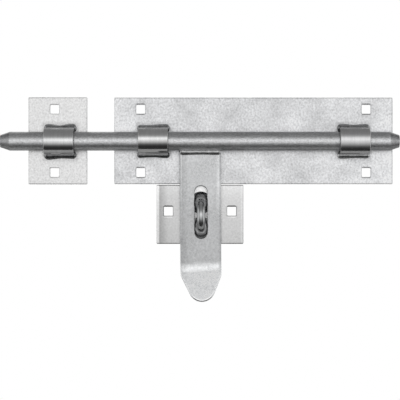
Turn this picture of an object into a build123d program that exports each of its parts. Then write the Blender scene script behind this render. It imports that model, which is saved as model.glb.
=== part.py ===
from build123d import *
from math import cos, radians, sin, sqrt, tan
import os

# Padbolt for a door or gate, welded up from zinc-coated steel bar and plate.
# A round bolt runs in three U keepers. A slotted hasp, welded under the bolt, drops over a staple,
# and a padlock through the staple holds it there. It is drawn locked.
# X runs along the bolt with the receiver on the -X side, Y points into the door and Z is up.
# The origin is on the main plate's back face, level with the bolt and half way along the plate.
# All sizes are in millimetres.

# Plates, the long one and its receiver with their middles a little above the bolt's centre line
plate_thickness = 4.0
plate_corner_radius = 1.2
plate_edge_radius = 1.1
hole_side = 9.0
hole_corner_radius = 0.8
hole_rim_radius = 1.0
main_plate_length = 281.4
main_plate_height = 87.5
main_hole_spacing_x = 228.0
main_hole_spacing_z = 64.0
small_plate_length = 88.0
small_plate_width = 59.6
small_hole_spacing = 64.0
small_hole_offset = 3.2
plate_lift = 0.8
door_gap = 27.2
staple_plate_gap = 0.8
staple_plate_x = -54.0

# Bolt
bolt_diameter = 19.0
bolt_length = 400.0
bolt_overhang = 26.7
bolt_tip_length = 9.5
bolt_tip_diameter = 12.5
bolt_tip_radius = 1.8

# Keepers
keeper_clearance = 0.5
keeper_thickness = 3.5
keeper_width = 30.0
keeper_edge_radius = 0.7
keeper_spacing = 202.0
receiver_keeper_offset = 2.5

# Staple
staple_bar_diameter = 8.0
staple_leg_spacing = 25.4
staple_projection = 34.0
staple_offset_x = 1.0
staple_offset_z = -0.85

# Hasp, with distances down it from the bolt's centre line. It leans sideways and back to the door,
# its bend runs a little askew, and the lip's tip is a little off the middle.
hasp_length = 160.7
hasp_width = 41.2
hasp_thickness = 5.0
hasp_edge_radius = 1.7
hasp_lean = 0.4
hasp_tilt = 2.0
hasp_seat_gap = 0.3
slot_offset = 0.5
slot_side_clearance = 2.4
slot_top_clearance = 13.0
slot_bottom_clearance = 6.5
slot_edge_radius = 0.7
bend_distance = 126.8
bend_radius = 30.0
bend_skew = 4.4
lip_angle = 17.0
lip_left_taper = 26.6
lip_right_taper = 22.5
lip_tip_radius = 13.5
lip_tip_offset = 0.9
lip_shoulder_radius = 8.0
turn_clearance = 0.05

# Weld beads, as the size of the bead at its left end, its middle and its right end
keeper_weld_overrun = 1.6
hasp_weld_overrun = 0.6
hasp_weld_drop = 1.4
keeper_weld_sizes = {
    "left_keeper_upper_weld": (3.4, 3.6, 4.5),
    "left_keeper_lower_weld": (3.0, 2.4, 3.2),
    "right_keeper_upper_weld": (4.6, 3.6, 4.4),
    "right_keeper_lower_weld": (3.9, 3.2, 3.5),
    "receiver_keeper_upper_weld": (4.4, 2.9, 4.7),
    "receiver_keeper_lower_weld": (4.8, 3.6, 3.9),
}
hasp_front_weld_sizes = (3.4, 2.9, 3.2)
hasp_back_weld_sizes = (3.2, 3.0, 3.3)
staple_weld_width = 7.3
staple_weld_bulge = 1.1

# Places worked out from the sizes above
bolt_radius = bolt_diameter / 2
keeper_bore_radius = bolt_radius + keeper_clearance
keeper_mean_radius = keeper_bore_radius + keeper_thickness / 2
keeper_outer_radius = keeper_bore_radius + keeper_thickness
plate_front_y = -plate_thickness
axis_y = plate_front_y - keeper_bore_radius
receiver_plate_x = -main_plate_length / 2 - door_gap - small_plate_width / 2
receiver_keeper_x = receiver_plate_x + receiver_keeper_offset
bolt_left_x = receiver_plate_x - small_plate_width / 2 - bolt_overhang
staple_plate_z = plate_lift - main_plate_height / 2 - staple_plate_gap - small_plate_width / 2
staple_x = staple_plate_x + staple_offset_x
staple_z = staple_plate_z + staple_offset_z
staple_bend_radius = staple_leg_spacing / 2
staple_bar_radius = staple_bar_diameter / 2
hasp_x = staple_x - slot_offset + staple_z * tan(radians(hasp_lean))
hasp_cope_radius = bolt_radius + turn_clearance
staple_foot_z = staple_z - staple_bend_radius - staple_bar_radius
hasp_back_y = (
    axis_y + hasp_thickness / 2 / cos(radians(hasp_tilt)) - staple_foot_z * tan(radians(hasp_tilt))
)
staple_weld_height = plate_front_y - hasp_back_y - hasp_seat_gap
slot_width = staple_bar_diameter + 2 * slot_side_clearance
slot_top = -staple_z - staple_bend_radius - staple_bar_radius - slot_top_clearance
slot_bottom = -staple_z + staple_bend_radius + staple_bar_radius + slot_bottom_clearance

os.makedirs("parts", exist_ok=True)


def finish(part, name):
    """Labels a finished piece and writes it."""
    part.label = name
    export_step(part, f"parts/{name}.step")


def make_plate(centre_x, centre_z, length, height, holes):
    """A flat plate with square holes, its front corners, edges and hole rims rounded by the zinc."""
    with BuildPart() as plate:
        with BuildSketch(Plane.XZ.shift_origin((centre_x, 0, centre_z))):
            RectangleRounded(length, height, plate_corner_radius)
            with Locations(*holes):
                RectangleRounded(hole_side, hole_side, hole_corner_radius, mode=Mode.SUBTRACT)
        extrude(amount=plate_thickness)
        front = plate.faces().sort_by(Axis.Y)[0]
        fillet(front.outer_wire().edges(), plate_edge_radius)
        front = plate.faces().sort_by(Axis.Y)[0]
        hole_rims = [edge for rim in front.inner_wires() for edge in rim.edges()]
        fillet(hole_rims, hole_rim_radius)
    return plate.part


def make_keeper(centre_x):
    """A strap bent round the bolt, with straight legs down to the plate."""
    with BuildPart() as keeper:
        with BuildSketch(Plane((centre_x, axis_y, 0), x_dir=(0, 1, 0), z_dir=(1, 0, 0))):
            with BuildLine():
                upper_leg = Line((keeper_bore_radius, keeper_mean_radius), (0, keeper_mean_radius))
                bow = ThreePointArc(upper_leg @ 1, (-keeper_mean_radius, 0), (0, -keeper_mean_radius))
                Line(bow @ 1, (keeper_bore_radius, -keeper_mean_radius))
            trace(line_width=keeper_thickness)
        extrude(amount=keeper_width / 2, both=True)
        rims = keeper.edges().filter_by(GeomType.CIRCLE).filter_by(
            lambda edge: edge.radius > keeper_mean_radius
        )
        fillet(rims, keeper_edge_radius)
    return keeper.part


def make_bead(corner, length, sizes):
    """A weld bead laid along X in a corner: thick round ends and a thinner middle."""
    left, middle, right = sizes
    half = length / 2
    with BuildPart() as bead:
        with BuildSketch(Plane(corner, x_dir=(1, 0, 0), z_dir=(0, -1, 0))):
            with BuildLine():
                left_end = RadiusArc((-half, 0), (-half + left, left), left)
                right_end = RadiusArc((half - right, right), (half, 0), right)
                Spline(left_end @ 1, (0, middle), right_end @ 0, tangents=((1, 0), (1, 0)))
                Line(right_end @ 1, left_end @ 0)
            make_face()
        revolve(axis=Axis(corner, (1, 0, 0)))
    return bead.part


def make_keeper_weld(centre_x, side, sizes):
    """The bead between the plate and one leg of a keeper, its ends round the strap's corners."""
    corner = Vector(centre_x, plate_front_y, side * keeper_outer_radius)
    with BuildPart() as weld:
        add(make_bead(corner, keeper_width + 2 * keeper_weld_overrun, sizes))
        split(bisect_by=Plane.XZ.offset(plate_thickness), keep=Keep.TOP)
        with BuildSketch(Plane((centre_x, axis_y, 0), x_dir=(1, 0, 0), z_dir=(0, 1, 0))):
            Rectangle(keeper_width, 2 * keeper_outer_radius)
        extrude(amount=keeper_bore_radius, mode=Mode.SUBTRACT)
    return weld.part


# The three plates
main_holes = [
    (side_x * main_hole_spacing_x / 2, side_z * main_hole_spacing_z / 2)
    for side_x in (-1, 1)
    for side_z in (-1, 1)
]
receiver_holes = [(-small_hole_offset, side * small_hole_spacing / 2) for side in (-1, 1)]
staple_holes = [(side * small_hole_spacing / 2, small_hole_offset) for side in (-1, 1)]
finish(make_plate(0, plate_lift, main_plate_length, main_plate_height, main_holes), "main_plate")
finish(
    make_plate(receiver_plate_x, plate_lift, small_plate_width, small_plate_length, receiver_holes),
    "receiver_plate",
)
finish(
    make_plate(staple_plate_x, staple_plate_z, small_plate_length, small_plate_width, staple_holes),
    "staple_plate",
)

# The keepers, each with a bead along its upper and its lower leg
keeper_places = {
    "left_keeper": -keeper_spacing / 2,
    "right_keeper": keeper_spacing / 2,
    "receiver_keeper": receiver_keeper_x,
}
for keeper_name, keeper_x in keeper_places.items():
    strap = make_keeper(keeper_x)
    finish(strap, keeper_name)
    for leg, side in (("upper", 1), ("lower", -1)):
        weld_name = f"{keeper_name}_{leg}_weld"
        finish(make_keeper_weld(keeper_x, side, keeper_weld_sizes[weld_name]), weld_name)

# The bolt: a round bar with a tapered end each way
with BuildPart() as bolt_rod:
    with BuildSketch(Plane((bolt_left_x, axis_y, 0))) as rod_profile:
        with BuildLine():
            Polyline(
                (0, 0),
                (0, bolt_tip_diameter / 2),
                (bolt_tip_length, bolt_radius),
                (bolt_length - bolt_tip_length, bolt_radius),
                (bolt_length, bolt_tip_diameter / 2),
                (bolt_length, 0),
                close=True,
            )
        make_face()
        tip_corners = rod_profile.vertices().filter_by_position(
            Axis.Y, axis_y + bolt_tip_diameter / 2, axis_y + bolt_tip_diameter / 2
        )
        fillet(tip_corners, bolt_tip_radius)
    revolve(axis=Axis((bolt_left_x, axis_y, 0), (1, 0, 0)))
finish(bolt_rod.part, "bolt_rod")

# The staple: a round bar bent to a U that stands out from its plate
staple_bend_y = plate_front_y - staple_projection + staple_bar_radius + staple_bend_radius
with BuildPart() as staple:
    with BuildLine(Plane((staple_x, 0, staple_z), x_dir=(0, 1, 0), z_dir=(1, 0, 0))) as staple_path:
        Line((plate_front_y, staple_bend_radius), (staple_bend_y, staple_bend_radius))
        ThreePointArc(
            (staple_bend_y, staple_bend_radius),
            (staple_bend_y - staple_bend_radius, 0),
            (staple_bend_y, -staple_bend_radius),
        )
        Line((staple_bend_y, -staple_bend_radius), (plate_front_y, -staple_bend_radius))
    staple_foot = (staple_x, plate_front_y, staple_z + staple_bend_radius)
    with BuildSketch(Plane(staple_foot, z_dir=(0, -1, 0))):
        Circle(staple_bar_radius)
    sweep(path=staple_path.line)
finish(staple.part, "staple")


def make_staple_weld(leg_z):
    """The ring bead round one leg of the staple, as high as the hasp's back leaves room for."""
    foot = staple_bar_radius + staple_weld_width
    leg_plane = Plane((staple_x, plate_front_y, leg_z), x_dir=(1, 0, 0), z_dir=(0, 0, 1))
    with BuildPart() as weld:
        with BuildSketch(leg_plane):
            with BuildLine():
                Polyline((foot, 0), (staple_bar_radius, 0), (staple_bar_radius, -staple_weld_height))
                SagittaArc((staple_bar_radius, -staple_weld_height), (foot, 0), -staple_weld_bulge)
            make_face()
        revolve(axis=Axis((staple_x, plate_front_y, leg_z), (0, 1, 0)))
    return weld.part


finish(make_staple_weld(staple_z + staple_bend_radius), "staple_upper_weld")
finish(make_staple_weld(staple_z - staple_bend_radius), "staple_lower_weld")

# The hasp: a flat bar slotted for the staple, its lower end bent out to a lip
hasp_across = Vector(cos(radians(hasp_lean)), 0, sin(radians(hasp_lean)))
hasp_up = Vector(
    -sin(radians(hasp_lean)) * cos(radians(hasp_tilt)),
    -sin(radians(hasp_tilt)),
    cos(radians(hasp_lean)) * cos(radians(hasp_tilt)),
)
hasp_out = hasp_across.cross(hasp_up)
hasp_top = Vector(hasp_x, axis_y, 0)
bend_line = hasp_across * cos(radians(bend_skew)) + hasp_up * sin(radians(bend_skew))
bend_up = hasp_up * cos(radians(bend_skew)) - hasp_across * sin(radians(bend_skew))
lip_reach = 2 * (hasp_length - bend_distance)
lip_end = (
    -bend_distance - lip_reach * cos(radians(lip_angle)),
    lip_reach * sin(radians(lip_angle)),
)


def hasp_side(side, taper):
    """The line down one side of the hasp, to where the lip's round tip starts: side is -1 on the left."""
    end_x = side * lip_tip_offset + lip_tip_radius * cos(radians(taper))
    end_z = -hasp_length + lip_tip_radius * (1 - sin(radians(taper)))
    shoulder_z = end_z + (hasp_width / 2 - end_x) / tan(radians(taper))
    return FilletPolyline(
        (side * hasp_width / 2, 0),
        (side * hasp_width / 2, shoulder_z),
        (side * end_x, end_z),
        radius=lip_shoulder_radius,
    )


with BuildPart() as hasp:
    with BuildSketch(Plane(hasp_top, x_dir=bend_up, z_dir=bend_line)):
        with BuildLine():
            FilletPolyline((0, 0), (-bend_distance, 0), lip_end, radius=bend_radius)
        trace(line_width=hasp_thickness)
    extrude(amount=hasp_width, both=True)
    with BuildSketch(Plane(hasp_top, x_dir=hasp_across, z_dir=hasp_out)):
        with BuildLine():
            left_side = hasp_side(-1, lip_left_taper)
            right_side = hasp_side(1, lip_right_taper)
            Line(right_side @ 0, left_side @ 0)
            ThreePointArc(right_side @ 1, (lip_tip_offset, -hasp_length), left_side @ 1)
        make_face()
    extrude(amount=lip_reach, both=True, mode=Mode.INTERSECT)
    rims = hasp.edges()
    for direction in (bend_line, hasp_across, hasp_out):
        rims = rims.filter_by(Axis((0, 0, 0), direction), reverse=True)
    fillet(rims, hasp_edge_radius)
    with BuildSketch(Plane(hasp_top, x_dir=hasp_across, z_dir=hasp_out)):
        with Locations((slot_offset, -(slot_top + slot_bottom) / 2)):
            SlotOverall(slot_bottom - slot_top, slot_width, rotation=90)
    extrude(amount=hasp_thickness, both=True, mode=Mode.SUBTRACT)
    slot_rims = hasp.edges(Select.LAST).filter_by(Axis((0, 0, 0), hasp_out), reverse=True)
    fillet(slot_rims, slot_edge_radius)
    with BuildSketch(Plane((hasp_x, axis_y, 0), x_dir=(0, 1, 0), z_dir=(1, 0, 0))):
        Circle(hasp_cope_radius)
    extrude(amount=hasp_width, both=True, mode=Mode.SUBTRACT)
finish(hasp.part, "hasp")


def make_hasp_weld(side, sizes):
    """The bead between the bolt and one face of the hasp: side is -1 in front and 1 at the back."""
    corner_drop = sqrt(hasp_cope_radius**2 - (hasp_thickness / 2) ** 2) + hasp_weld_drop
    corner = hasp_top - hasp_up * corner_drop - hasp_out * side * hasp_thickness / 2
    with BuildPart() as weld:
        add(make_bead(corner, hasp_width + 2 * hasp_weld_overrun, sizes))
        split(bisect_by=Plane.XZ.offset(-axis_y), keep=Keep.TOP if side < 0 else Keep.BOTTOM)
        add(hasp.part, mode=Mode.SUBTRACT)
        with BuildSketch(Plane((hasp_x, axis_y, 0), x_dir=(0, 1, 0), z_dir=(1, 0, 0))):
            Circle(hasp_cope_radius)
        extrude(amount=hasp_width, both=True, mode=Mode.SUBTRACT)
    return weld.part


finish(make_hasp_weld(-1, hasp_front_weld_sizes), "hasp_front_weld")
finish(make_hasp_weld(1, hasp_back_weld_sizes), "hasp_back_weld")
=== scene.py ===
import math

import bpy
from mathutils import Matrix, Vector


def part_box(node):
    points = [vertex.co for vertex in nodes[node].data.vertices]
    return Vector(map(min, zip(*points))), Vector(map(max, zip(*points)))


# Lengths are in metres. X points right along the bolt, Y back into the door, and Z up.
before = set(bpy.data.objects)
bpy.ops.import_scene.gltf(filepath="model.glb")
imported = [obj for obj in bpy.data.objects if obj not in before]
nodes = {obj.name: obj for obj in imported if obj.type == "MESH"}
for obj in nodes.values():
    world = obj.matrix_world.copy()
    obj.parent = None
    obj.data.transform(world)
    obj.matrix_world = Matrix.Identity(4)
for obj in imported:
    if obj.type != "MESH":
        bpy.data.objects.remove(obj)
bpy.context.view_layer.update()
scene = bpy.context.scene

# Camera: square on to the plates, as the photograph is
ROD_AXIS_Y = -0.014
CAMERA_X = -0.054
CAMERA_Z = -0.059
CAMERA_DISTANCE = 1.4495
CAMERA_LENS = 130.0
CAMERA_SEES_TO = 20

# World: brightness against the angle above the horizon, where 0 is the front, 90 is straight up,
# 180 is the back, where the picture's white ground lies, and -90 is straight down
WORLD_PEAK = 1.3
WORLD_BY_ANGLE = [
    (-180, 1.0), (-158, 1.0), (-140, 0.55), (-108, 0.30), (-94, 0.05), (-60, 0.03), (-50, 0.06),
    (-41, 0.13), (-32, 0.32), (-23, 0.56), (-14, 0.80), (-4, 1.05), (6, 1.30), (16, 1.10),
    (26, 0.64), (36, 0.38), (52, 0.27), (80, 0.24), (108, 0.24), (130, 0.60), (146, 1.0),
    (180, 1.0),
]
# The sides, against how far a direction points sideways, from 0 to 1: first dimmed, then white
SIDE_DIMMING = 0.52
SIDE_DIMS_FROM, SIDE_DIMS_TO = 0.28, 0.55
SIDE_WHITE = 1.0
SIDE_WHITE_FROM, SIDE_WHITE_TO = 0.70, 0.92

# Floor: a pale table top under and behind the object, out of the camera's view
FLOOR_Z = -0.45
FLOOR_X = (-1.4, 1.3)
FLOOR_Y = (-0.07, 1.25)
FLOOR_COLOUR = (0.86, 0.86, 0.855)
FLOOR_ROUGHNESS = 0.8

# Square bolt holes, as part.py has them
HOLE_SIDE = 0.009
MAIN_HOLE_SPACING = (0.228, 0.064)
SMALL_HOLE_SPACING = 0.064
SMALL_HOLE_OFFSET = 0.0032

# Soft edges of a rim along a hole: at its start, at its end, and in from and out past both sides
RIM_START_SOFTNESS = 0.0002
RIM_END_SOFTNESS = 0.0003
RIM_SIDE_INSIDE, RIM_SIDE_OUTSIDE = 0.0012, 0.0004

# The middle of a noise pattern's range, where most of it lies
NOISE_SPAN = (0.3, 0.7)
WIDE_NOISE_SPAN = (0.25, 0.75)

# From what to what a pattern changes the brightness of the zinc or the floor
BAR_SPECKLE = (0.60, 1.08)
BAR_BLOTCHES = (0.90, 1.02)
STRAP_LINES = (0.90, 1.02)
STRAP_CLOUDS = (0.92, 1.02)
WELD_CLOUDS = (0.62, 1.05)
FLOOR_SPECKLE = (0.96, 1.0)

# The shades below multiply the zinc's colour, and 1 leaves it as it is. Each row of four says from
# where to where a shade changes, and from what to what. A place is how far a point lies in from an
# edge of its piece, its height, or how far its face looks along an axis, from -1 to 1. A row that
# ends in 0 and 1 is a mask for another shade. A rim's row of three says where it starts and ends
# outside its hole, and its shade.

# Plates: faces that look to the front, and rough upper and lower edges, pale with painted light
FRONT_MASK = (-0.1, -0.4, 0, 1)
EDGE_MASK = (0.10, 0.35, 0, 1)
EDGE_ROUGHNESS = 0.95

# Painted shade round the keepers' feet
KEEPER_PAINTED_SHADE_REACH = 0.0030
KEEPER_PAINTED_SHADE = 0.78

# Main plate
# Painted shade on the rims above and below the holes
MAIN_HOLE_RIM = (0.0004, 0.0013, 0.50)
# Paler toward both ends: partly uneven zinc, partly painted light
MAIN_LEFT_END = (0.010, 0.050, 1.12, 1.0)
MAIN_RIGHT_END = (0.0, 0.080, 1.10, 1.0)
# Painted shade along the right edge
MAIN_RIGHT_EDGE = (0.0006, 0.0014, 0.72, 1.0)
MAIN_FOOT_MASK = (0.022, 0.036, 1, 0)
MAIN_PAST_KEEPER_MASK = (0.030, 0.070, 0, 1)
MAIN_FOOT_SHADE = 1.06

# Staple plate
# Painted shade on the holes' upper rims, and painted light on their lower rims
STAPLE_RIM_ABOVE = (-0.0002, 0.0014, 0.30)
STAPLE_RIM_BELOW = (-0.0002, 0.0018, 1.35)
STAPLE_LEFT_HALF = (0.016, 0.036, 0.93, 1.0)
# Painted highlights and shade along the rounded left and right edges
STAPLE_LEFT_EDGE_HIGHLIGHT = (0.0016, 0.0034, 1.40, 0.68)
STAPLE_PAST_LEFT_EDGE_HIGHLIGHT = (0.0036, 0.0120, 1.0, 1 / 0.68)
STAPLE_RIGHT_EDGE_HIGHLIGHT = (0.0022, 0.0030, 1.10, 0.98)
# Painted shade toward the foot, and painted light toward the top
STAPLE_FOOT = (0.0, 0.045, 0.88, 1.0)
STAPLE_TOP = (0.002, 0.013, 1.14, 1.0)
# Painted light behind the hasp's slot, where the hasp shades the plate
STAPLE_TOP_MASK = (0.006, 0.013, 1, 0)
STAPLE_PAINTED_LIGHT_BEHIND_HASP = (0.006, 0.012, 1.22, 1.0)

# Hasp. Its heights are those of its middle, and lines across it rise a little to the right
HASP_MIDDLE_X = -0.054
HASP_SKEW = 0.05
# Painted shade toward the bend, a painted highlight along it, painted light on the lip and tip
HASP_TO_BEND = (-0.105, -0.055, 0.90, 1.0)
HASP_BEND_HIGHLIGHT = (-0.1262, -0.1207, 1.48, 1.0)
HASP_LIP = (-0.1305, -0.1258, 1.31, 1.0)
HASP_TIP = (0.002, 0.014, 1.08, 1.0)
# Painted shadow on the left edge, painted highlights and shade on the rounded edges, painted shade
# on the cut sides
HASP_LEFT_EDGE = (0.0000, 0.0008, 0.60, 1.0)
HASP_LEFT_EDGE_HIGHLIGHT = (0.0018, 0.0026, 1.16, 0.82)
HASP_PAST_LEFT_EDGE_HIGHLIGHT = (0.0026, 0.0090, 1.0, 1 / 0.82)
HASP_RIGHT_EDGE_HIGHLIGHT = (0.0030, 0.0060, 1.24, 1.0)
HASP_RIGHT_EDGE_HIGHLIGHT_MASK = (-0.080, -0.060, 0, 1)
HASP_CUT_SIDES = (0.7, 0.95, 1.0, 0.6)
# Painted light on its slot's walls, and painted shade on the strips beside the slot
WALL_PAINTED_LIGHT = 1.7
WALL_FACING_MASK = (0.3, 0.6, 1, 0)
WALL_INSET_MASK = (0.008, 0.010, 0, 1)
WALL_HEIGHT_MASKS = ((-0.112, -0.104, 0, 1), (-0.030, -0.020, 1, 0))
STRIP_HEIGHT_MASKS = ((-0.105, -0.098, 0, 1), (-0.068, -0.045, 1, 0))
STRIP_SIDES = (0.002, 0.013, 0.92, 1.0)
LEFT_STRIP = (0.006, 0.012, 1.0, 0.92)
LEFT_STRIP_MASK = (0.015, 0.018, 1, 0)

# Bolt: painted shade on its upper and lower sides, its cones and its end faces
BOLT_UPPER = (0.25, 0.7, 1.0, 0.82)
BOLT_LOWER = (-0.75, -0.45, 0.78, 1.0)
BOLT_CONES = (0.1, 0.3, 1.0, 0.74)
BOLT_ENDS = (0.6, 0.9, 1.0, 0.75)

# Painted shade on the keepers' sheared sides, which are also rough, and on the staple's round sides
CUT_MASK = (0.75, 0.95, 0, 1)
CUT_PAINTED_SHADE = 0.16
CUT_ROUGHNESS = 0.75
STAPLE_SIDES_PAINTED_SHADE = (0.35, 0.75, 1.0, 0.60)

# Welds: painted light where they face up, painted shade where they face down and to the front
WELD_UPPER_MASK = (0.20, 0.6, 0, 1)
WELD_LOWER = (-0.6, 0.0, 0.75, 1.0)
WELD_FRONT = (-0.95, -0.6, 0.60, 1.0)


def new_material(name):
    """A material with one Principled shader, and its node tree."""
    material = bpy.data.materials.new(name)
    material.use_nodes = True
    return material, material.node_tree, material.node_tree.nodes["Principled BSDF"]


def link(tree, source, target):
    tree.links.new(source, target)


def split(tree, vector):
    """The X, Y and Z of a vector, as outputs by name."""
    node = tree.nodes.new("ShaderNodeSeparateXYZ")
    link(tree, vector, node.inputs["Vector"])
    return node.outputs


def object_coordinates(tree, stretch=(1, 1, 1), turn=(0, 0, 0)):
    """The object's own coordinates, scaled and turned for a pattern."""
    place = tree.nodes.new("ShaderNodeTexCoord")
    mapping = tree.nodes.new("ShaderNodeMapping")
    mapping.inputs["Scale"].default_value = stretch
    mapping.inputs["Rotation"].default_value = turn
    link(tree, place.outputs["Object"], mapping.inputs["Vector"])
    return mapping.outputs["Vector"]


def facing(tree, axis):
    """How far a face looks along one of its object's own axes, from -1 to 1."""
    place = tree.nodes.new("ShaderNodeTexCoord")
    return split(tree, place.outputs["Normal"])[axis]


def noise(tree, vector, per_metre, detail=3.0, roughness=0.55):
    """Soft noise with so many waves to a metre, from 0 to 1."""
    node = tree.nodes.new("ShaderNodeTexNoise")
    node.inputs["Scale"].default_value = per_metre
    node.inputs["Detail"].default_value = detail
    node.inputs["Roughness"].default_value = roughness
    link(tree, vector, node.inputs["Vector"])
    return node.outputs["Fac"]


def remap(tree, value, low, high, to_low, to_high):
    """Maps low..high of a value to to_low..to_high, held at both ends."""
    node = tree.nodes.new("ShaderNodeMapRange")
    sockets = ("From Min", "From Max", "To Min", "To Max")
    for socket, number in zip(sockets, (low, high, to_low, to_high)):
        node.inputs[socket].default_value = number
    link(tree, value, node.inputs["Value"])
    return node.outputs["Result"]


def spread(tree, pattern, to_low, to_high, span=NOISE_SPAN):
    """Maps a noise pattern to a range of brightness or roughness."""
    return remap(tree, pattern, *span, to_low, to_high)


def spread_about(tree, pattern, middle, below, above):
    """Maps a noise pattern to a range from so far below a number to so far above it."""
    return spread(tree, pattern, middle - below, middle + above)


def put(tree, value, socket):
    """Gives a socket a number, or links it to an output."""
    if isinstance(value, (int, float)):
        socket.default_value = value
    else:
        link(tree, value, socket)


def combine(tree, operation, first, second=0.0):
    """One Math node. Either input may be a number."""
    node = tree.nodes.new("ShaderNodeMath")
    node.operation = operation
    put(tree, first, node.inputs[0])
    put(tree, second, node.inputs[1])
    return node.outputs["Value"]


def product(tree, *factors):
    """All the factors multiplied together."""
    result = factors[0]
    for factor in factors[1:]:
        result = combine(tree, "MULTIPLY", result, factor)
    return result


def absolute(tree, value):
    return combine(tree, "ABSOLUTE", value)


def blend(tree, factor, first, second):
    """A mix from the first grey to the second. Either grey may be a number."""
    node = tree.nodes.new("ShaderNodeMix")
    link(tree, factor, node.inputs["Factor"])
    put(tree, first, node.inputs["A"])
    put(tree, second, node.inputs["B"])
    return node.outputs["Result"]


def masked(tree, mask, shade):
    """A shade where the mask is 1, and none where it is 0."""
    return blend(tree, mask, 1.0, shade)


def tint(tree, grey, colour):
    """A grey multiplied into a colour."""
    node = tree.nodes.new("ShaderNodeMix")
    node.data_type = "RGBA"
    node.blend_type = "MULTIPLY"
    node.inputs["Factor"].default_value = 1.0
    node.inputs["A"].default_value = (*colour, 1.0)
    link(tree, grey, node.inputs["B"])
    return node.outputs["Result"]


def bump(tree, height, depth):
    """A bump of that depth where the height is 1."""
    node = tree.nodes.new("ShaderNodeBump")
    node.inputs["Strength"].default_value = 1.0
    node.inputs["Distance"].default_value = depth
    link(tree, height, node.inputs["Height"])
    return node.outputs["Normal"]


def finish_zinc(tree, shader, light, colour, gloss):
    """Gives a shader its metal: a pattern of light and dark over a colour, and its roughness."""
    link(tree, tint(tree, light, colour), shader.inputs["Base Color"])
    shader.inputs["Metallic"].default_value = 1.0
    link(tree, gloss, shader.inputs["Roughness"])


def zinc_sheet(name, colour, roughness, fleck_depth, cloud_depth, shade, has_painted_pale_edges=False):
    """Zinc on flat plate: a fine fleck, wide soft clouds and a slight orange peel, with the piece's
    own shades over them, most of them painted light and shade. Its upper and lower edges may
    be rough, and made pale with painted light."""
    material, tree, shader = new_material(name)
    grain = noise(tree, object_coordinates(tree), per_metre=850, detail=2)
    across = object_coordinates(tree, stretch=(1, 1, 0.9), turn=(0, 0.2, 0))
    flecks = noise(tree, across, per_metre=520, detail=3, roughness=0.6)
    aslant = object_coordinates(tree, stretch=(1, 1, 1.4), turn=(0, 0.5, 0))
    clouds = noise(tree, aslant, per_metre=32, detail=2)
    light = product(
        tree,
        spread(tree, flecks, 1 - fleck_depth, 1 + fleck_depth, WIDE_NOISE_SPAN),
        spread(tree, clouds, 1 - cloud_depth, 1 + cloud_depth, WIDE_NOISE_SPAN),
        shade(tree),
    )
    gloss = spread_about(tree, clouds, roughness, below=0.04, above=0.05)
    if has_painted_pale_edges:
        edge = remap(tree, absolute(tree, facing(tree, "Z")), *EDGE_MASK)
        # Painted light: takes the colour up to about white
        light = product(tree, light, masked(tree, edge, 1 / colour[1]))
        gloss = blend(tree, edge, gloss, EDGE_ROUGHNESS)
    finish_zinc(tree, shader, light, colour, gloss)
    link(tree, bump(tree, grain, depth=0.00004), shader.inputs["Normal"])
    return material


def zinc_bar(name, colour, roughness):
    """Zinc on drawn bar: speckled, with the speckle drawn out a little along the bar, and painted
    shade on its upper and lower sides, its cones and its end faces.
    """
    material, tree, shader = new_material(name)
    along = object_coordinates(tree, stretch=(0.45, 1, 1))
    grain = noise(tree, along, per_metre=850, detail=3, roughness=0.7)
    blotches = noise(tree, along, per_metre=160, detail=3)
    up = facing(tree, "Z")
    endways = absolute(tree, facing(tree, "X"))
    light = product(
        tree,
        spread(tree, grain, *BAR_SPECKLE),
        spread(tree, blotches, *BAR_BLOTCHES),
        remap(tree, up, *BOLT_UPPER),
        remap(tree, up, *BOLT_LOWER),
        remap(tree, endways, *BOLT_CONES),
        remap(tree, endways, *BOLT_ENDS),
    )
    gloss = spread_about(tree, blotches, roughness, below=0.03, above=0.04)
    finish_zinc(tree, shader, light, colour, gloss)
    link(tree, bump(tree, grain, depth=0.00005), shader.inputs["Normal"])
    return material


def zinc_strap(name, colour, roughness, has_cut_sides=True, lean=0.0, flatness=0.0):
    """Zinc on bent steel: smooth, with faint lines along the bend. A keeper's cut sides are rough
    and darkened with painted shade, and its front may lean or be a little flat, because no two
    of them are bent quite alike. The staple has no cut sides, and is only darkened with painted
    shade where it looks sideways."""
    material, tree, shader = new_material(name)
    lines = noise(tree, object_coordinates(tree, stretch=(1, 0.15, 0.15)), per_metre=420)
    clouds = noise(tree, object_coordinates(tree), per_metre=120)
    light = product(tree, spread(tree, lines, *STRAP_LINES), spread(tree, clouds, *STRAP_CLOUDS))
    gloss = spread_about(tree, clouds, roughness, below=0.02, above=0.03)
    sideways = absolute(tree, facing(tree, "X"))
    if has_cut_sides:
        cut = remap(tree, sideways, *CUT_MASK)
        light = product(tree, light, masked(tree, cut, CUT_PAINTED_SHADE))
        gloss = blend(tree, cut, gloss, CUT_ROUGHNESS)
    else:
        light = product(tree, light, remap(tree, sideways, *STAPLE_SIDES_PAINTED_SHADE))
    finish_zinc(tree, shader, light, colour, gloss)
    if lean or flatness:
        z = split(tree, object_coordinates(tree))["Z"]
        slope = combine(tree, "ADD", product(tree, z, flatness), lean)
        link(tree, bump(tree, product(tree, slope, z), depth=1.0), shader.inputs["Normal"])
    return material


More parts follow.
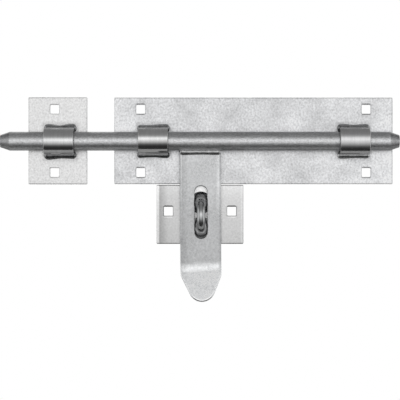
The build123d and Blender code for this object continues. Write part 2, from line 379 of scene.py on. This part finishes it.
def zinc_weld(name, colour, roughness, upper_painted_light):
    """Zinc over a weld bead: glossy, with close ripples across it, painted light where it faces up,
    and painted shade where it faces down and to the front.
    """
    material, tree, shader = new_material(name)
    across = object_coordinates(tree, stretch=(1, 0.45, 0.45))
    ripples = noise(tree, across, per_metre=520, detail=2)
    clouds = noise(tree, object_coordinates(tree), per_metre=260)
    up = facing(tree, "Z")
    light = product(
        tree,
        spread(tree, clouds, *WELD_CLOUDS),
        masked(tree, remap(tree, up, *WELD_UPPER_MASK), upper_painted_light),
        remap(tree, up, *WELD_LOWER),
        remap(tree, facing(tree, "Y"), *WELD_FRONT),
    )
    gloss = spread_about(tree, clouds, roughness, below=0.05, above=0.06)
    finish_zinc(tree, shader, light, colour, gloss)
    link(tree, bump(tree, ripples, depth=0.0004), shader.inputs["Normal"])
    return material


def place_on(tree, node):
    """How far a point lies in from its piece's left, right, bottom and top."""
    at = split(tree, object_coordinates(tree))
    xs, _, zs = zip(*nodes[node].bound_box)
    return (
        combine(tree, "SUBTRACT", at["X"], min(xs)),
        combine(tree, "SUBTRACT", max(xs), at["X"]),
        combine(tree, "SUBTRACT", at["Z"], min(zs)),
        combine(tree, "SUBTRACT", max(zs), at["Z"]),
    )


def from_middle(tree, near, far):
    """How far a point lies above or to the right of the middle between two edges."""
    return product(tree, combine(tree, "SUBTRACT", near, far), 0.5)


def from_row(tree, near, far, spacing):
    """How far a point lies outside the nearer of two rows of holes that are so far apart."""
    return combine(tree, "SUBTRACT", absolute(tree, from_middle(tree, near, far)), spacing / 2)


def rim(tree, beside, beyond, starts, ends, shade):
    """A band along one side of a hole, from so far to so far outside it."""
    half = HOLE_SIDE / 2
    start, end = half + starts, half + ends
    near = remap(tree, beyond, start - RIM_START_SOFTNESS, start + RIM_START_SOFTNESS, 0, 1)
    far = remap(tree, beyond, end - RIM_END_SOFTNESS, end + RIM_END_SOFTNESS, 1, 0)
    level = remap(
        tree, absolute(tree, beside), half - RIM_SIDE_INSIDE, half + RIM_SIDE_OUTSIDE, 1, 0
    )
    return masked(tree, product(tree, near, far, level), shade)


def on_front(tree, shade):
    """A shade kept to the front of a plate and the rounds beside it: the back stays plain."""
    return masked(tree, remap(tree, facing(tree, "Y"), *FRONT_MASK), shade)


def painted_shade_round_keeper(tree, keeper):
    """Painted shade round the foot of a keeper and its welds."""
    names = [node for node in nodes if node.startswith(keeper)]
    lows, highs = zip(*(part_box(name) for name in names))
    at = split(tree, object_coordinates(tree))
    squares = []
    for axis, output in ((0, "X"), (2, "Z")):
        low = min(corner[axis] for corner in lows)
        high = max(corner[axis] for corner in highs)
        offset = absolute(tree, combine(tree, "SUBTRACT", at[output], (low + high) / 2))
        beyond = combine(tree, "SUBTRACT", offset, (high - low) / 2)
        outside = combine(tree, "MAXIMUM", beyond, 0.0)
        squares.append(product(tree, outside, outside))
    distance = combine(tree, "SQRT", combine(tree, "ADD", *squares))
    return remap(tree, distance, 0.0, KEEPER_PAINTED_SHADE_REACH, KEEPER_PAINTED_SHADE, 1.0)


def main_plate_shade(tree):
    """Paler toward both ends, partly from uneven zinc and partly from painted light, and paler low
    down, with painted shade on the rims above and below the holes, along the right edge and round
    the keepers."""
    left, right, bottom, top = place_on(tree, "main_plate")
    beside = from_row(tree, left, right, MAIN_HOLE_SPACING[0])
    beyond = absolute(tree, from_row(tree, bottom, top, MAIN_HOLE_SPACING[1]))
    foot = product(
        tree,
        remap(tree, bottom, *MAIN_FOOT_MASK),
        remap(tree, left, *MAIN_PAST_KEEPER_MASK),
    )
    shade = product(
        tree,
        rim(tree, beside, beyond, *MAIN_HOLE_RIM),
        remap(tree, left, *MAIN_LEFT_END),
        masked(tree, foot, MAIN_FOOT_SHADE),
        remap(tree, right, *MAIN_RIGHT_END),
        remap(tree, right, *MAIN_RIGHT_EDGE),
        painted_shade_round_keeper(tree, "left_keeper"),
        painted_shade_round_keeper(tree, "right_keeper"),
    )
    return on_front(tree, shade)


def receiver_plate_shade(tree):
    """Painted shade round the keeper."""
    return on_front(tree, painted_shade_round_keeper(tree, "receiver_keeper"))


def staple_plate_shade(tree):
    """Painted light toward the top and where the hasp's slot shades it, painted shade toward the
    foot, a little darker over the left part, a painted highlight and shade along the rounded left
    and right edges, and holes with painted shade on their upper rims and painted light on their
    lower rims."""
    left, right, bottom, top = place_on(tree, "staple_plate")
    beside = from_row(tree, left, right, SMALL_HOLE_SPACING)
    above = combine(tree, "SUBTRACT", from_middle(tree, bottom, top), SMALL_HOLE_OFFSET)
    below = product(tree, above, -1.0)
    behind_hasp = remap(tree, absolute(tree, from_middle(tree, left, right)), *STAPLE_PAINTED_LIGHT_BEHIND_HASP)
    shade = product(
        tree,
        rim(tree, beside, above, *STAPLE_RIM_ABOVE),
        rim(tree, beside, below, *STAPLE_RIM_BELOW),
        remap(tree, left, *STAPLE_LEFT_HALF),
        remap(tree, left, *STAPLE_LEFT_EDGE_HIGHLIGHT),
        remap(tree, left, *STAPLE_PAST_LEFT_EDGE_HIGHLIGHT),
        remap(tree, right, *STAPLE_RIGHT_EDGE_HIGHLIGHT),
        remap(tree, bottom, *STAPLE_FOOT),
        remap(tree, top, *STAPLE_TOP),
        masked(tree, remap(tree, top, *STAPLE_TOP_MASK), behind_hasp),
    )
    return on_front(tree, shade)


def hasp_shade(tree):
    """Painted shade toward the bend, beside the slot and on the cut sides, a painted highlight
    along the bend, painted light on the lip, toward its tip and on the slot's walls, and a painted
    shadow, highlights and shade along its left and right edges."""
    left, right, bottom, _ = place_on(tree, "hasp")
    at = split(tree, object_coordinates(tree))
    askew = product(tree, combine(tree, "SUBTRACT", at["X"], HASP_MIDDLE_X), HASP_SKEW)
    height = combine(tree, "SUBTRACT", at["Z"], askew)
    inset = combine(tree, "MINIMUM", left, right)
    wall = product(
        tree,
        remap(tree, inset, *WALL_INSET_MASK),
        remap(tree, absolute(tree, facing(tree, "Y")), *WALL_FACING_MASK),
        *(remap(tree, height, *mask) for mask in WALL_HEIGHT_MASKS),
    )
    strip = product(tree, *(remap(tree, height, *mask) for mask in STRIP_HEIGHT_MASKS))
    left_strip = product(tree, strip, remap(tree, left, *LEFT_STRIP_MASK))
    return product(
        tree,
        masked(tree, wall, WALL_PAINTED_LIGHT),
        masked(tree, strip, remap(tree, inset, *STRIP_SIDES)),
        masked(tree, left_strip, remap(tree, left, *LEFT_STRIP)),
        remap(tree, height, *HASP_TO_BEND),
        remap(tree, height, *HASP_BEND_HIGHLIGHT),
        remap(tree, height, *HASP_LIP),
        remap(tree, bottom, *HASP_TIP),
        remap(tree, left, *HASP_LEFT_EDGE),
        remap(tree, left, *HASP_LEFT_EDGE_HIGHLIGHT),
        remap(tree, left, *HASP_PAST_LEFT_EDGE_HIGHLIGHT),
        masked(
            tree,
            remap(tree, height, *HASP_RIGHT_EDGE_HIGHLIGHT_MASK),
            remap(tree, right, *HASP_RIGHT_EDGE_HIGHLIGHT),
        ),
        remap(tree, absolute(tree, facing(tree, "X")), *HASP_CUT_SIDES),
    )


# Finishes of the CAD nodes. The welds that aren't named here have the plain one.
weld_zinc = zinc_weld("weld_zinc", (0.38, 0.385, 0.39), roughness=0.22, upper_painted_light=2.1)
# A lighter copy of the weld zinc: a painted highlight along the welds it is given to
painted_highlight_weld_zinc = zinc_weld(
    "painted_highlight_weld_zinc", (0.90, 0.905, 0.91), roughness=0.22, upper_painted_light=1.0
)
finishes = {
    "main_plate": zinc_sheet(
        "main_plate_zinc", (0.72, 0.725, 0.735), roughness=0.38, fleck_depth=0.31, cloud_depth=0.28,
        shade=main_plate_shade, has_painted_pale_edges=True,
    ),
    "receiver_plate": zinc_sheet(
        "receiver_plate_zinc", (0.83, 0.83, 0.83), roughness=0.38, fleck_depth=0.22,
        cloud_depth=0.12, shade=receiver_plate_shade, has_painted_pale_edges=True,
    ),
    "staple_plate": zinc_sheet(
        "staple_plate_zinc", (0.685, 0.685, 0.685), roughness=0.30, fleck_depth=0.13,
        cloud_depth=0.12, shade=staple_plate_shade,
    ),
    # Darker than the plates' zinc: partly painted shade, for a hasp that leans back
    "hasp": zinc_sheet(
        "hasp_zinc", (0.55, 0.556, 0.562), roughness=0.27, fleck_depth=0.19, cloud_depth=0.14,
        shade=hasp_shade,
    ),
    "bolt_rod": zinc_bar("bolt_zinc", (0.915, 0.925, 0.935), roughness=0.40),
    "receiver_keeper": zinc_strap("receiver_keeper_zinc", (0.70, 0.705, 0.71), roughness=0.11),
    "left_keeper": zinc_strap("left_keeper_zinc", (0.71, 0.71, 0.71), roughness=0.09, lean=0.11),
    "right_keeper": zinc_strap(
        "right_keeper_zinc", (0.66, 0.66, 0.665), roughness=0.15, lean=0.04, flatness=9.5
    ),
    "staple": zinc_strap(
        "staple_zinc", (0.64, 0.65, 0.655), roughness=0.15, has_cut_sides=False
    ),
    "right_keeper_lower_weld": painted_highlight_weld_zinc,
    "hasp_front_weld": painted_highlight_weld_zinc,
    "hasp_back_weld": painted_highlight_weld_zinc,
    # A lighter copy of the weld zinc for the staple's lower weld: painted light
    "staple_lower_weld": zinc_weld(
        "staple_weld_zinc", (0.66, 0.665, 0.67), roughness=0.22, upper_painted_light=1.3
    ),
}

for node, piece in nodes.items():
    finish = finishes.get(node, weld_zinc) if node.endswith("_weld") else finishes[node]
    for material_slot in piece.material_slots:
        material_slot.link = "OBJECT"
        material_slot.material = finish


def make_floor():
    """The pale table top."""
    material, tree, shader = new_material("pale_floor")
    speckle = noise(tree, object_coordinates(tree), per_metre=40, detail=4)
    grey = spread(tree, speckle, *FLOOR_SPECKLE)
    link(tree, tint(tree, grey, FLOOR_COLOUR), shader.inputs["Base Color"])
    shader.inputs["Roughness"].default_value = FLOOR_ROUGHNESS
    (left, right), (near, far) = FLOOR_X, FLOOR_Y
    corners = [(left, near), (right, near), (right, far), (left, far)]
    mesh = bpy.data.meshes.new("floor")
    mesh.from_pydata([(x, y, FLOOR_Z) for x, y in corners], [], [(0, 1, 2, 3)])
    mesh.materials.append(material)
    floor = bpy.data.objects.new("floor", mesh)
    scene.collection.objects.link(floor)


def make_world():
    """A studio round the object: a soft window in front, a little above the lens, grey above, dark
    below the lens, and a white ground behind."""
    world = bpy.data.worlds.new("studio")
    scene.world = world
    world.use_nodes = True
    tree = world.node_tree
    background = tree.nodes["Background"]
    place = tree.nodes.new("ShaderNodeTexCoord")
    direction = split(tree, place.outputs["Generated"])
    angle = combine(tree, "ARCTAN2", direction["Z"], product(tree, direction["Y"], -1.0))
    ramp = tree.nodes.new("ShaderNodeValToRGB")
    link(tree, remap(tree, angle, -math.pi, math.pi, 0, 1), ramp.inputs["Fac"])
    ramp.color_ramp.interpolation = "EASE"
    # The ramp has its first and last stops already
    stops = ramp.color_ramp.elements
    for degrees, _ in WORLD_BY_ANGLE[1:-1]:
        stops.new((degrees + 180) / 360)
    for stop, (_, brightness) in zip(stops, WORLD_BY_ANGLE):
        level = brightness / WORLD_PEAK
        stop.color = (level, level, level, 1)
    pattern = product(tree, ramp.outputs["Color"], WORLD_PEAK)
    sideways = absolute(tree, direction["X"])
    dimming = remap(tree, sideways, SIDE_DIMS_FROM, SIDE_DIMS_TO, 1, SIDE_DIMMING)
    to_white = remap(tree, sideways, SIDE_WHITE_FROM, SIDE_WHITE_TO, 0, 1)
    light = blend(tree, to_white, product(tree, pattern, dimming), SIDE_WHITE)
    link(tree, light, background.inputs["Color"])
    background.inputs["Strength"].default_value = 1.0


def make_camera():
    data = bpy.data.cameras.new("camera")
    data.lens = CAMERA_LENS
    data.clip_end = CAMERA_SEES_TO
    camera = bpy.data.objects.new("camera", data)
    camera.location = (CAMERA_X, ROD_AXIS_Y - CAMERA_DISTANCE, CAMERA_Z)
    camera.rotation_euler = (math.pi / 2, 0, 0)
    scene.collection.objects.link(camera)
    scene.camera = camera


make_floor()
make_world()
make_camera()
scene.view_settings.view_transform = "Standard"
